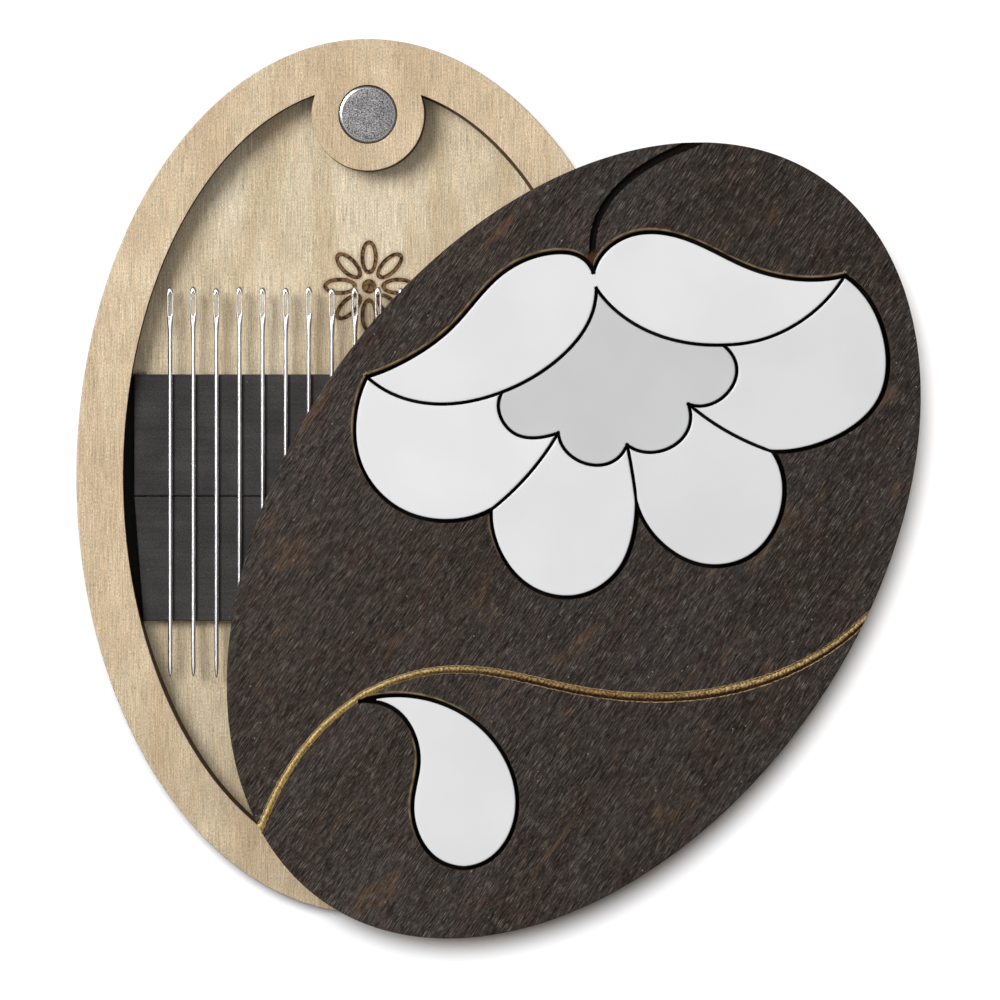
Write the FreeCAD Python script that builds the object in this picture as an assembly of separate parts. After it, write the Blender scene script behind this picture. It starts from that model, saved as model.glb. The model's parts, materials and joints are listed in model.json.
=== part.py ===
import FreeCAD
import Part
import math
import os

# Oval needle case in laser-cut plywood, in millimetres.
# A shallow tray holds two magnetic strips with a row of needles across them. The lid is two
# plies thick, with acrylic inlays in the upper ply, and disc magnets hold it to the tray.
# Frame: +Z up, origin at the centre of the base's bottom face, +Y towards the upper magnet.
# The lid is drawn closed, in line with the base, then swung open about the lower magnets.

Vector = FreeCAD.Vector

# Case
half_length = 45.0
half_width = 30.0
ply_thickness = 3.0
edge_break = 0.15

# Tray rim and its two magnet lugs
rim_width = 4.8
lug_radius = 5.8
lug_distance = 37.25

# Disc magnets
magnet_radius = 3.0
magnet_thickness = 2.8
magnet_recess = 0.1
magnet_chamfer = 0.3
magnet_clearance = 0.05

# Magnetic strips
strip_thickness = 1.5
strip_upper_edge = 10.5
strip_joint = -2.05
strip_lower_edge = -14.9
strip_half_width = 24.1
strip_lower_half_width = 23.15
strip_joint_gap = 0.08

# Needles
needle_count = 18
needle_pitch = 2.38
needle_row_shift = -0.15
needle_top = 19.5
needle_length = 40.2
needle_diameter = 0.5
needle_clearance = 0.02
eye_width = 0.72
eye_thickness = 0.5
eye_length = 2.9
eye_slot_start = 0.75
eye_slot_length = 2.1
eye_slot_width = 0.24
eye_gutter_width = 0.16
eye_gutter_depth = 0.07
eye_gutter_overrun = 0.6
neck_length = 2.0
point_length = 1.6

# Burnt daisy on the tray floor
daisy_centre = (0.1, 19.6)
daisy_petals = 8
daisy_petal_distance = 3.0
daisy_petal_half_length = 1.75
daisy_petal_half_width = 0.9
daisy_line = 0.42
daisy_eye_radius = 0.75
daisy_depth = 0.15

# Lid
lid_gap = 0.05
lid_open_angle = 34.6
inlay_recess = 0.1
centre_recess = 0.6
inlay_clearance = 0.18
seam_clearance = 0.14
inlay_shift = 0.06
leaf_tip_gap = 1.7
groove_depth = 0.5
vine_width = 0.85
stem_width = 0.7
ribbon_steps = 24

# Heights of the layers
tray_floor = ply_thickness
rim_top = 2.0 * ply_thickness
strip_top = tray_floor + strip_thickness
lid_bottom = rim_top + lid_gap
lid_middle = lid_bottom + ply_thickness
lid_top = lid_middle + ply_thickness

# Where the flower's seams and outlines meet, in the closed lid
top_notch = (-13.9, 23.8)
top_apex = (-12.7, 22.6)
left_tip = (-26.9, 1.8)
right_tip = (7.5, 38.1)
left_seam_end = (-14.6, 8.4)
left_cusp = (-7.5, 8.2)
left_foot = (-8.7, -2.2)
lower_foot = (3.3, 6.7)
lower_cusp = (-1.0, 11.2)
right_foot = (11.7, 19.1)
right_cusp = (1.8, 18.2)
right_seam_end = (1.3, 25.2)

# Flower edges, each a smooth curve through its points
flower_edges = {
    "upper_left": [top_notch, (-16.2, 24.3), (-18.4, 23.1), (-21.6, 18.1), (-22.6, 11.0),
                   (-24.4, 5.8), left_tip],
    "upper_right": [right_tip, (4.9, 35.8), (-1.1, 33.2), (-8.0, 32.0), (-12.8, 29.2),
                    (-14.2, 25.8), top_notch],
    "left_sweep": [left_tip, (-22.0, 2.3), (-18.0, 4.6), left_seam_end, (-11.8, 14.4),
                   (-11.4, 19.3), top_apex],
    "right_sweep": [right_tip, (6.9, 33.0), (3.8, 27.4), right_seam_end, (-3.3, 22.7),
                    (-8.8, 21.8), top_apex],
    "left_side": [left_tip, (-25.6, -2.2), (-22.3, -6.0), (-16.6, -7.5), (-12.2, -6.0), left_foot],
    "lower_side": [left_foot, (-5.4, -5.3), (-0.5, -6.4), (3.8, -4.3), (5.6, 0.2),
                   (5.0, 3.4), lower_foot],
    "lower_right_side": [lower_foot, (8.2, 4.8), (12.7, 5.6), (15.9, 9.0), (16.0, 14.2), right_foot],
    "right_side": [right_foot, (15.9, 23.5), (17.6, 29.8), (14.3, 35.4), right_tip],
    "left_seam": [left_foot, (-7.6, 3.0), left_cusp],
    "lower_seam": [lower_foot, (1.2, 9.0), lower_cusp],
    "right_seam": [right_foot, (6.0, 18.1), right_cusp],
    "lobe_1": [left_seam_end, (-13.9, 6.7), (-11.1, 5.6), (-8.5, 7.0), left_cusp],
    "lobe_2": [left_cusp, (-5.1, 7.0), (-2.1, 7.9), lower_cusp],
    "lobe_3": [lower_cusp, (1.4, 11.9), (3.2, 14.5), right_cusp],
    "lobe_4": [right_cusp, (3.9, 19.8), (4.4, 22.7), right_seam_end],
}

# The flower's pieces and the edges that bound each; the two sweeps are split at the seams' ends
flower_pieces = {
    "upper_petal_pair": ["upper_left", "left_tip_edge", "left_throat",
                         "right_throat", "right_tip_edge", "upper_right"],
    "left_petal": ["left_side", "left_seam", "lobe_1", "left_tip_edge"],
    "lower_left_petal": ["lower_side", "lower_seam", "lobe_2", "left_seam"],
    "lower_right_petal": ["lower_right_side", "right_seam", "lobe_3", "lower_seam"],
    "right_petal": ["right_side", "right_tip_edge", "lobe_4", "right_seam"],
    "flower_centre": ["lobe_1", "lobe_2", "lobe_3", "lobe_4", "right_throat", "left_throat"],
}
flower_outline = ["upper_left", "left_side", "lower_side",
                  "lower_right_side", "right_side", "upper_right"]

# Leaf inlay, vine and stem
leaf_tip = (-8.7, -26.0)
leaf_end = (9.7, -34.1)
leaf_back = [leaf_tip, (-4.1, -22.3), (1.7, -21.0), (7.1, -22.4), (11.0, -26.2), (11.8, -30.7), leaf_end]
leaf_belly = [leaf_end, (5.2, -34.5), (1.8, -31.7), (-0.3, -27.5), (-3.0, -25.2), leaf_tip]
vine_path = [(-9.4, -43.4), (-10.7, -35.0), (-9.0, -25.8), (-2.7, -17.9),
             (8.6, -12.6), (19.4, -5.9), (25.9, 1.8), (29.3, 11.0)]
stem_path = [(-12.0, 41.9), (-15.7, 35.7), (-16.9, 30.0), (-14.9, 25.0)]


def ellipse_face(half_x, half_y):
    """Upright ellipse in the XY plane, centred on the origin, longer along Y."""
    curve = Part.Ellipse(Vector(0, half_y, 0), Vector(half_x, 0, 0), Vector(0, 0, 0))
    return Part.Face(Part.Wire(curve.toShape()))


def slab(face, bottom, top):
    """Extrude a flat face between two heights."""
    solid = face.extrude(Vector(0, 0, top - bottom))
    solid.translate(Vector(0, 0, bottom))
    return solid


def disc(radius, bottom, top, x=0.0, y=0.0):
    """Upright cylinder between two heights."""
    return Part.makeCylinder(radius, top - bottom, Vector(x, y, bottom))


def bevel_rim(solid, height, size):
    """Chamfer the edges that lie wholly at one height."""
    edges = [edge for edge in solid.Edges
             if abs(edge.BoundBox.ZMin - height) < 1e-4 and abs(edge.BoundBox.ZMax - height) < 1e-4]
    return solid.makeChamfer(size, edges)


def smooth_curve(points):
    """Spline through points in the XY plane."""
    curve = Part.BSplineCurve()
    curve.interpolate([Vector(x, y, 0) for x, y in points])
    return curve


def closed_face(edges):
    """Flat face inside edges that join end to end."""
    ordered = Part.sortEdges(edges)[0]
    return Part.Face(Part.Wire(ordered))


def ribbon_face(edge, width):
    """Flat ribbon of even width along an edge, run on past both ends by half its width."""
    left = []
    right = []
    for step in range(ribbon_steps + 1):
        parameter = edge.FirstParameter + (edge.LastParameter - edge.FirstParameter) * step / ribbon_steps
        tangent = edge.tangentAt(parameter)
        side = Vector(-tangent.y, tangent.x, 0) * (width / 2)
        left.append(edge.valueAt(parameter) + side)
        right.append(edge.valueAt(parameter) - side)
    left_curve = Part.BSplineCurve()
    left_curve.interpolate(left)
    right_curve = Part.BSplineCurve()
    right_curve.interpolate(right)
    start = edge.tangentAt(edge.FirstParameter) * (-width / 2)
    end = edge.tangentAt(edge.LastParameter) * (width / 2)
    start_cap = Part.makePolygon([left[0], left[0] + start, right[0] + start, right[0]])
    end_cap = Part.makePolygon([left[-1], left[-1] + end, right[-1] + end, right[-1]])
    return closed_face([left_curve.toShape(), right_curve.toShape()] + start_cap.Edges + end_cap.Edges)


def groove_solid(path, width):
    """Groove cutter along a path, reaching down from above the lid."""
    line = smooth_curve(path).toShape()
    return slab(ribbon_face(line, width), lid_top - groove_depth, lid_top + 1.0)


def swing_open(shape):
    """Turn a lid piece from closed to its resting place, about the lower magnets' axis."""
    opened = shape.copy()
    opened.rotate(Vector(0, -lug_distance, 0), Vector(0, 0, 1), -lid_open_angle)
    return opened


def magnet(y, bottom, top):
    """Disc magnet with both rims chamfered."""
    body = disc(magnet_radius, bottom, top, 0.0, y)
    rims = [edge for edge in body.Edges if edge.Length > 2 * (top - bottom)]
    return body.makeChamfer(magnet_chamfer, rims)


def base_magnet(side):
    """Magnet in a lug of the tray, its face just below the rim."""
    top = rim_top - magnet_recess
    return magnet(side * lug_distance, top - magnet_thickness, top)


def lid_magnet(side):
    """Magnet in the lid's lower ply, its face just above the lid's underside."""
    bottom = lid_bottom + magnet_recess
    return swing_open(magnet(side * lug_distance, bottom, bottom + magnet_thickness))


def magnet_holes(bottom, top):
    """Through holes for both magnets of a ply."""
    radius = magnet_radius + magnet_clearance
    upper = disc(radius, bottom - 1.0, top + 1.0, 0.0, lug_distance)
    lower = disc(radius, bottom - 1.0, top + 1.0, 0.0, -lug_distance)
    return upper.fuse(lower)


def daisy_cut():
    """Shallow outline daisy, burnt into the tray floor."""
    bottom = tray_floor - daisy_depth
    top = tray_floor + 1.0
    loop = slab(ellipse_face(daisy_petal_half_width, daisy_petal_half_length), bottom, top)
    hollow_face = ellipse_face(
        daisy_petal_half_width - daisy_line, daisy_petal_half_length - daisy_line)
    hollow = slab(hollow_face, bottom, top)
    petal = loop.cut(hollow)
    petal.translate(Vector(0, daisy_petal_distance, 0))
    cut = disc(daisy_eye_radius, bottom, top)
    for index in range(daisy_petals):
        turned = petal.copy()
        turned.rotate(Vector(0, 0, 0), Vector(0, 0, 1), 360.0 * index / daisy_petals)
        cut = cut.fuse(turned)
    cut.translate(Vector(daisy_centre[0], daisy_centre[1], 0))
    return cut


def base_panel():
    """Solid oval floor of the tray."""
    panel = slab(ellipse_face(half_width, half_length), 0.0, tray_floor)
    panel = bevel_rim(panel, 0.0, edge_break)
    return panel.cut(daisy_cut())


def rim_frame():
    """Oval ring round the tray, with a round lug at each end for its magnet."""
    frame = slab(ellipse_face(half_width, half_length), tray_floor, rim_top)
    frame = bevel_rim(frame, rim_top, edge_break)
    opening_face = ellipse_face(half_width - rim_width, half_length - rim_width)
    opening = slab(opening_face, tray_floor - 1.0, rim_top + 1.0)
    for side in (1, -1):
        opening = opening.cut(disc(lug_radius, tray_floor - 2.0, rim_top + 2.0, 0.0, side * lug_distance))
    return frame.cut(opening).cut(magnet_holes(tray_floor, rim_top))


def strip(corners):
    """Flat magnetic strip with the given corners."""
    wire = Part.makePolygon([Vector(x, y, 0) for x, y in corners + corners[:1]])
    return slab(Part.Face(wire), tray_floor, strip_top)


def upper_magnetic_strip():
    """Strip under the needles' upper halves."""
    low = strip_joint + strip_joint_gap / 2
    return strip([(-strip_half_width, low), (strip_half_width, low),
                  (strip_half_width, strip_upper_edge), (-strip_half_width, strip_upper_edge)])


def lower_magnetic_strip():
    """Strip under the needles' lower halves, its ends trimmed to follow the oval."""
    high = strip_joint - strip_joint_gap / 2
    return strip([(-strip_lower_half_width, strip_lower_edge), (strip_lower_half_width, strip_lower_edge),
                  (strip_half_width, high), (-strip_half_width, high)])


def stadium(width, length, bottom, top):
    """Round-ended slot cutter along Y, centred on the origin."""
    radius = width / 2
    straight = length / 2 - radius
    block = Part.makeBox(width, 2 * straight, top - bottom, Vector(-radius, -straight, bottom))
    upper_end = disc(radius, bottom, top, 0.0, straight)
    lower_end = disc(radius, bottom, top, 0.0, -straight)
    return block.fuse(upper_end).fuse(lower_end)


def needle():
    """Sewing needle along -Y from the origin at the top of its eye."""
    shaft = needle_diameter / 2
    wide = eye_width / 2
    crown = Part.Arc(Vector(0, 0, 0), Vector(0.72 * wide, -0.32 * wide, 0), Vector(wide, -1.6 * wide, 0))
    cheek_end = Vector(wide, -eye_length, 0)
    neck_end = Vector(shaft, -eye_length - neck_length, 0)
    point_start = Vector(shaft, point_length - needle_length, 0)
    point_middle = Vector(0.85 * shaft, 0.5 * point_length - needle_length, 0)
    point_end = Vector(0.5 * shaft, 0.15 * point_length - needle_length, 0)
    tip = Vector(0, -needle_length, 0)
    neck = Part.BSplineCurve()
    neck.interpolate(
        [cheek_end, Vector(0.62 * wide + 0.38 * shaft, -eye_length - 0.4 * neck_length, 0), neck_end],
        InitialTangent=Vector(0, -1, 0), FinalTangent=Vector(0, -1, 0))
    profile = Part.Wire([
        crown.toShape(),
        Part.LineSegment(Vector(wide, -1.6 * wide, 0), cheek_end).toShape(),
        neck.toShape(),
        Part.LineSegment(neck_end, point_start).toShape(),
        Part.LineSegment(point_start, point_middle).toShape(),
        Part.LineSegment(point_middle, point_end).toShape(),
        Part.LineSegment(point_end, tip).toShape(),
        Part.LineSegment(tip, Vector(0, 0, 0)).toShape(),
    ])
    solid = Part.Face(profile).revolve(Vector(0, 0, 0), Vector(0, 1, 0), 360)
    half = eye_thickness / 2
    flat = Part.makeBox(2 * eye_width, needle_length + 2.0, eye_thickness,
                        Vector(-eye_width, -needle_length - 1.0, -half))
    solid = solid.common(flat)
    slot = stadium(eye_slot_width, eye_slot_length, -1.0, 1.0)
    gutter_length = eye_slot_length + 2 * eye_gutter_overrun
    upper_gutter = stadium(eye_gutter_width, gutter_length, half - eye_gutter_depth, 1.0)
    lower_gutter = stadium(eye_gutter_width, gutter_length, -1.0, eye_gutter_depth - half)
    cutter = slot.fuse(upper_gutter).fuse(lower_gutter)
    cutter.translate(Vector(0, -eye_slot_start - eye_slot_length / 2, 0))
    return solid.cut(cutter)


def placed_needle(shape, index):
    """Needle lying across the strips at its place in the row, hand-laid a little unevenly."""
    laid = shape.copy()
    x = (index - (needle_count - 1) / 2) * needle_pitch + needle_row_shift
    y = needle_top + 0.08 * math.sin(2.4 * index)
    laid.translate(Vector(x, y, strip_top + needle_diameter / 2 + needle_clearance))
    return laid


def split_sweep(name, seam_end, tip_edge, throat, edges):
    """Split one of the flower's long sweeps where a seam meets it."""
    curve = smooth_curve(flower_edges[name])
    split = curve.parameter(Vector(seam_end[0], seam_end[1], 0))
    edges[tip_edge] = curve.toShape(curve.FirstParameter, split)
    edges[throat] = curve.toShape(split, curve.LastParameter)


def build_flower_edges():
    """Every edge of the flower, by name."""
    edges = {}
    for name, points in flower_edges.items():
        edges[name] = smooth_curve(points).toShape()
    split_sweep("left_sweep", left_seam_end, "left_tip_edge", "left_throat", edges)
    split_sweep("right_sweep", right_seam_end, "right_tip_edge", "right_throat", edges)
    return edges


def kerf(edge, clearance):
    """Band that the laser removes along an edge, reaching a clearance to each side."""
    return slab(ribbon_face(edge, 2 * clearance), lid_middle - 1.0, lid_top + 1.0)


def flower_piece(name, edges):
    """One acrylic piece of the flower, trimmed back from its outline and its seams."""
    top = lid_top - (centre_recess if name == "flower_centre" else inlay_recess)
    piece = slab(closed_face([edges[edge] for edge in flower_pieces[name]]), lid_middle, top)
    for edge in flower_pieces[name]:
        clearance = inlay_clearance if edge in flower_outline else seam_clearance
        piece = piece.cut(kerf(edges[edge], clearance))
    piece = swing_open(piece)
    piece.translate(Vector(-inlay_shift, 0, 0))
    return piece


def leaf_edges():
    """The two curves of the leaf."""
    return [smooth_curve(leaf_back).toShape(), smooth_curve(leaf_belly).toShape()]


def leaf_inlay():
    """Acrylic leaf, stopping short of its opening's pointed tip."""
    piece = slab(closed_face(leaf_edges()), lid_middle, lid_top - inlay_recess)
    for edge in leaf_edges():
        piece = piece.cut(kerf(edge, inlay_clearance))
    piece = piece.cut(disc(leaf_tip_gap, lid_middle - 1.0, lid_top + 1.0, leaf_tip[0], leaf_tip[1]))
    return swing_open(piece)


def lid_front_panel(edges):
    """Upper ply of the lid, with openings for the inlays and two engraved lines."""
    panel = slab(ellipse_face(half_width, half_length), lid_middle, lid_top)
    panel = bevel_rim(panel, lid_top, edge_break)
    flower_face = closed_face([edges[edge] for edge in flower_outline])
    panel = panel.cut(slab(flower_face, lid_middle - 1.0, lid_top + 1.0))
    for edge in flower_outline:
        panel = panel.cut(kerf(edges[edge], inlay_clearance))
    panel = panel.cut(slab(closed_face(leaf_edges()), lid_middle - 1.0, lid_top + 1.0))
    for edge in leaf_edges():
        panel = panel.cut(kerf(edge, inlay_clearance))
    panel = panel.cut(groove_solid(vine_path, vine_width))
    panel = panel.cut(groove_solid(stem_path, stem_width))
    return swing_open(panel)


def lid_back_panel():
    """Lower ply of the lid, backing the inlays and holding the lid's magnets."""
    panel = slab(ellipse_face(half_width, half_length), lid_bottom, lid_middle)
    panel = bevel_rim(panel, lid_bottom, edge_break)
    return swing_open(panel.cut(magnet_holes(lid_bottom, lid_middle)))


def all_parts():
    """Every piece of the needle case, by node name."""
    edges = build_flower_edges()
    parts = {
        "base_panel": base_panel(),
        "rim_frame": rim_frame(),
        "upper_base_magnet": base_magnet(1),
        "lower_base_magnet": base_magnet(-1),
        "upper_magnetic_strip": upper_magnetic_strip(),
        "lower_magnetic_strip": lower_magnetic_strip(),
        "lid_back_panel": lid_back_panel(),
        "lid_front_panel": lid_front_panel(edges),
        "upper_lid_magnet": lid_magnet(1),
        "lower_lid_magnet": lid_magnet(-1),
        "leaf_inlay": leaf_inlay(),
    }
    for name in flower_pieces:
        parts[name] = flower_piece(name, edges)
    shape = needle()
    for index in range(needle_count):
        parts["needle_%02d" % (index + 1)] = placed_needle(shape, index)
    return parts


os.makedirs("parts", exist_ok=True)
for node, shape in all_parts().items():
    shape.Solids[0].exportStep("parts/" + node + ".step")
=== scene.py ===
import json
import math

import bmesh
import bpy
import numpy as np
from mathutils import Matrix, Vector, kdtree, noise
from mathutils.geometry import delaunay_2d_cdt


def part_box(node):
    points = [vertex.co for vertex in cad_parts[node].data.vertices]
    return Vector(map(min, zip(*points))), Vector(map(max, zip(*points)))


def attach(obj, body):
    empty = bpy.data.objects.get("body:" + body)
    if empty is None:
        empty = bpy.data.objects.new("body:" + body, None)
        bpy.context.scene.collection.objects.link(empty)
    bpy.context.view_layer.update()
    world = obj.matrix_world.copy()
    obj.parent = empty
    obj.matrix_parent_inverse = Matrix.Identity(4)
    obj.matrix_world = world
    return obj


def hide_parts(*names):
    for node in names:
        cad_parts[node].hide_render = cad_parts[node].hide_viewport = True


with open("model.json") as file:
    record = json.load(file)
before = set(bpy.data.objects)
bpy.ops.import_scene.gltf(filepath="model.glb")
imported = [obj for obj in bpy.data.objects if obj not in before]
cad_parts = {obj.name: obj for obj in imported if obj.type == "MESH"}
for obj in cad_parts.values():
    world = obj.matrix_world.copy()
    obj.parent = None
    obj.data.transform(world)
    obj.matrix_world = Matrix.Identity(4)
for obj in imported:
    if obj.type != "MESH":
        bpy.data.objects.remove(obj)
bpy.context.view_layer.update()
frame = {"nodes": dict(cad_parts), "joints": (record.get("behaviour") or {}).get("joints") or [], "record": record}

# The looks of an oval needle case: plywood, acrylic, magnets, magnetic tape and needles.
# Outlines are read from the CAD meshes and worked out in millimetres, then written in metres.
# Every flat piece is a plate with rounded edges; points near its edges carry scorch marks.

MM = 0.001

# Reading the CAD outlines
flat_normal = 0.9
height_tolerance = 0.003
shortest_gap = 0.03
outline_spacing = 0.45
fine_spacing = 0.07
fine_reach = 0.8
corner_angle = math.radians(28.0)
batch = 2000

# Shape of the plates
edge_turns = [math.radians(angle) for angle in (0, 30, 60, 90)]
edge_radius = 0.12
rim_hole_radius = 0.06
lid_hole_radius = 0.17
sharp_angle = math.radians(38.0)
inlay_shrink = 0.025
bore_shrink = -0.03
rim_flare = 0.3
flare_side = np.array([0.7, -0.7])
room_across = 0.42
room_beside = 0.4
edge_rows = (0.17, 0.26, 0.4, 0.75)
row_room = 0.8
grid_spacing = 2.0
grid_clearance = 1.0

# Thickness of one plywood sheet
ply_thickness = 3.0

# Scorching shows most on wood that lies to the upper left of an opening
scorch_side = np.array([-0.65, 0.76])
scorch_reach = 0.21
outer_scorch = 0.12

# The burnt daisy
daisy_depth = 0.15
daisy_line = 0.42
daisy_wall = 0.05
daisy_spacing = 0.12
daisy_rows = (0.1, 0.22, 0.4)
daisy_roughness = 0.03
daisy_room = 0.85
daisy_petal = 2.0

# Engraved lines; places across a line are in half widths
path_samples = 1200
smoothing_width = 15
groove_depth = 0.5
groove_wall = 0.93
groove_lip = 0.08
groove_margin = 1.3
groove_gap = 0.05
groove_clearance = 2.8
half_rows = (2.4, 1.7, groove_margin, 1.12, 1.0, groove_wall, 0.72, 0.48, 0.24)
groove_rows = tuple(-across for across in half_rows) + (0.0,) + half_rows[::-1]
far_across = 9.0
end_reach = 1.0
end_trim = 2.2
raggedness = 0.16
vine_crown = 0.40
vine_fall = 0.4
vine_stitch = 0.42
vine_stitch_height = 0.05
vine_slant = 0.45
vine_waver = 0.06
stem_start = 1.3
stem_fade = 0.8
stem_mean = 0.05
stem_waver = 0.06

# Widths of the two lines at distances along them
vine_widths = (
    (0.0, 8.0, 20.0, 28.0, 36.0, 46.0, 60.0, 76.0),
    (0.74, 0.62, 0.62, 0.7, 0.8, 0.84, 0.98, 0.76),
)
stem_widths = ((0.0, 6.0, 16.0), (0.6, 0.68, 0.78))

# Shape of the needles
shaft_radius = 0.25
eye_half_width = 0.36
eye_crown = 0.58
eye_slot = (0.66, 2.9)
eye_neck = 2.1
slot_half_width = 0.12
gutter_run = (0.16, 0.45)
gutter_depth = 0.85
needle_point = 1.6
point_power = 2.2
needle_columns = 8

# Rows of points along a needle: from its top, from the ends of its slot, on its shaft and from its tip
crown_rows = (0.0, 0.012, 0.04, 0.09, 0.16, 0.25, 0.35, 0.45, 0.52, 0.57, 0.62)
slot_rows = (0.0, 0.015, 0.04, 0.08, 0.13, 0.4, 0.7, 1.05)
neck_rows = (0.12, 0.25, 0.4, 0.6, 0.85, 1.1, 1.4, 1.75, 2.1)
shaft_rows = (10.0, 20.0, 30.0)
tip_rows = (1.6, 1.3, 1.0, 0.7, 0.45, 0.28, 0.16, 0.07, 0.02, 0.0)

# Half of a magnet's profile, for a radius of 3: radius and depth below its face
magnet_profile = (
    (0.0, 0.0), (1.2, 0.0), (2.0, 0.0), (2.64, 0.0), (2.7, 0.006), (2.74, 0.017),
    (2.82, 0.047), (2.92, 0.088), (2.965, 0.112), (2.99, 0.14), (3.0, 0.18),
)
magnet_segments = 96

# How white each inlay is, from 0 to 255. The white petals are set lighter towards the left, a painted gradient of
# the light falling across the flower; the grey centre is darker in its own colour.
inlay_tones = {
    "left_petal": 230, "upper_petal_pair": 227, "lower_left_petal": 225, "lower_right_petal": 219,
    "right_petal": 219, "leaf_inlay": 224, "flower_centre": 201,
}

# Lights, in metres: place, size and power; the floor's own light is a sun and has no size
key_light = ((-0.8, 0.52, 1.2), 0.8, 21.0)
top_light = ((0.0, 0.05, 1.5), 2.1, 9.3)
floor_light = ((-0.08, 0.16, 1.2), None, 3.35)
floor_light_spread = 14.0
sky_levels = ((0.0, 0.96), (0.03, 0.35), (0.5, 0.05))

# Camera, in millimetres, and half the floor's width in metres
view_centre = (13.6, -2.45)
view_width = 102.67
view_plane = 9.0
lens = 400.0
sensor = 36.0
floor_half = 14.0

lid_turn = -next(joint for joint in frame["joints"] if joint["name"] == "lid_swivel")["range_deg"][1]


# ---- outlines


def cap_loops(node, height, facing):
    """Closed outlines, largest first, of a CAD node's flat faces at one height.

    The material is on their left.
    """
    mesh = frame["nodes"][node].data
    mesh.calc_loop_triangles()
    edges = {}
    for triangle in mesh.loop_triangles:
        if triangle.normal.z * facing < flat_normal:
            continue
        corners = [mesh.vertices[index].co / MM for index in triangle.vertices]
        if max(abs(corner.z - height) for corner in corners) > height_tolerance:
            continue
        keys = [(round(corner.x, 4), round(corner.y, 4)) for corner in corners]
        for start, end in zip(keys, keys[1:] + keys[:1]):
            if (end, start) in edges:
                del edges[(end, start)]
            elif start != end:
                edges[(start, end)] = True
    following = {}
    for start, end in edges:
        following.setdefault(start, []).append(end)
    loops = []
    while following:
        point = next(iter(following))
        loop = []
        while point in following:
            loop.append(point)
            ends = following[point]
            if len(ends) == 1:
                del following[point]
            point = ends.pop()
        loops.append(np.array(loop[::facing]))
    loops.sort(key=lambda loop: -abs(area(loop)))
    return loops


def area(loop):
    """Signed area of a closed outline, positive when it runs anticlockwise."""
    after = np.roll(loop, -1, 0)
    return 0.5 * float(np.sum(loop[:, 0] * after[:, 1] - after[:, 0] * loop[:, 1]))


def unit(vectors):
    """Vectors scaled to length one."""
    return vectors / np.maximum(np.linalg.norm(vectors, axis=-1, keepdims=True), 1e-9)


def left_of(vectors):
    """Vectors turned a quarter turn to the left."""
    return np.stack([-vectors[..., 1], vectors[..., 0]], -1)


def sides(loop):
    """Chords of a closed outline, their lengths, and the directions ahead of and behind each point."""
    chord = np.roll(loop, -1, 0) - loop
    ahead = unit(chord)
    return chord, np.linalg.norm(chord, axis=1), ahead, np.roll(ahead, 1, 0)


def smooth_loop(loop, spacing, fine=None):
    """Even out a closed outline: curves become smooth and corners stay sharp.

    Where fine, a distance to something small, says so, the points are closer.
    """
    gap = np.linalg.norm(loop - np.roll(loop, 1, 0), axis=1)
    loop = loop[gap > shortest_gap]
    chord, length, ahead, behind = sides(loop)
    corner = np.sum(ahead * behind, 1) < math.cos(corner_angle)
    tangent = unit(behind * length[:, None] + ahead * np.roll(length, 1)[:, None])
    made = []
    count = len(loop)
    for index in range(count):
        after = (index + 1) % count
        start = ahead[index] if corner[index] else tangent[index]
        end = ahead[index] if corner[after] else tangent[after]
        step = spacing
        middle = loop[index] + chord[index] / 2
        if fine and fine(middle) < length[index] / 2 + fine_reach:
            step = fine_spacing
        pieces = max(1, math.ceil(length[index] / step - 0.01))
        for piece in range(pieces):
            t = piece / pieces
            from_start = (2 * t ** 3 - 3 * t ** 2 + 1) * loop[index]
            leaving = (t ** 3 - 2 * t ** 2 + t) * length[index] * start
            to_end = (-2 * t ** 3 + 3 * t ** 2) * loop[after]
            arriving = (t ** 3 - t ** 2) * length[index] * end
            made.append(from_start + leaving + to_end + arriving)
    return np.array(made)


def inward(loop):
    """For each point of an outline, the mitred direction into its material."""
    normal_ahead, normal_behind = (left_of(side) for side in sides(loop)[2:])
    share = np.maximum(1.0 + np.sum(normal_ahead * normal_behind, 1), 0.5)
    return (normal_ahead + normal_behind) / share[:, None]


def room_inward(loop):
    """How far each point of an outline can move into its material before it meets the other side."""
    length, ahead, behind = sides(loop)[1:]
    direction = unit(inward(loop))
    apart = loop[None] - loop[:, None]
    distance = np.linalg.norm(apart, axis=2)
    facing = (np.einsum("ijk,ik->ij", apart, direction) > 0.0) & (direction @ direction.T < 0.0)
    room = room_across * np.where(facing, distance, np.inf).min(1)
    sharp = np.sum(left_of(behind) * ahead, 1) > math.sin(corner_angle)
    beside = room_beside * np.minimum(length, np.roll(length, 1))
    room = np.where(sharp, np.minimum(room, beside), room)
    return (room[None] + distance).min(1)


def inside(points, loops):
    """Which points lie in the material that the outlines bound."""
    result = np.zeros(len(points), bool)
    for start in range(0, len(points), batch):
        x = points[start:start + batch, 0][:, None]
        y = points[start:start + batch, 1][:, None]
        crossings = np.zeros(len(x), int)
        for loop in loops:
            ax, ay = loop.T
            bx, by = np.roll(loop, -1, 0).T
            rise = np.where(by == ay, 1.0, by - ay)
            spans = (ay > y) != (by > y)
            crossings += (spans & (x < ax + (y - ay) * (bx - ax) / rise)).sum(1)
        result[start:start + batch] = crossings % 2 == 1
    return result


def tree_of(points):
    """A search tree over flat points."""
    tree = kdtree.KDTree(len(points))
    for index, point in enumerate(points):
        tree.insert((point[0], point[1], 0.0), index)
    tree.balance()
    return tree


def distance_to(tree, point):
    """Distance from a point to the nearest point of a tree."""
    return tree.find((point[0], point[1], 0.0))[2]


def waver(x, y, layer):
    """Smooth unevenness, about 0 on average."""
    return noise.noise(Vector((x, y, layer)))


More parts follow.
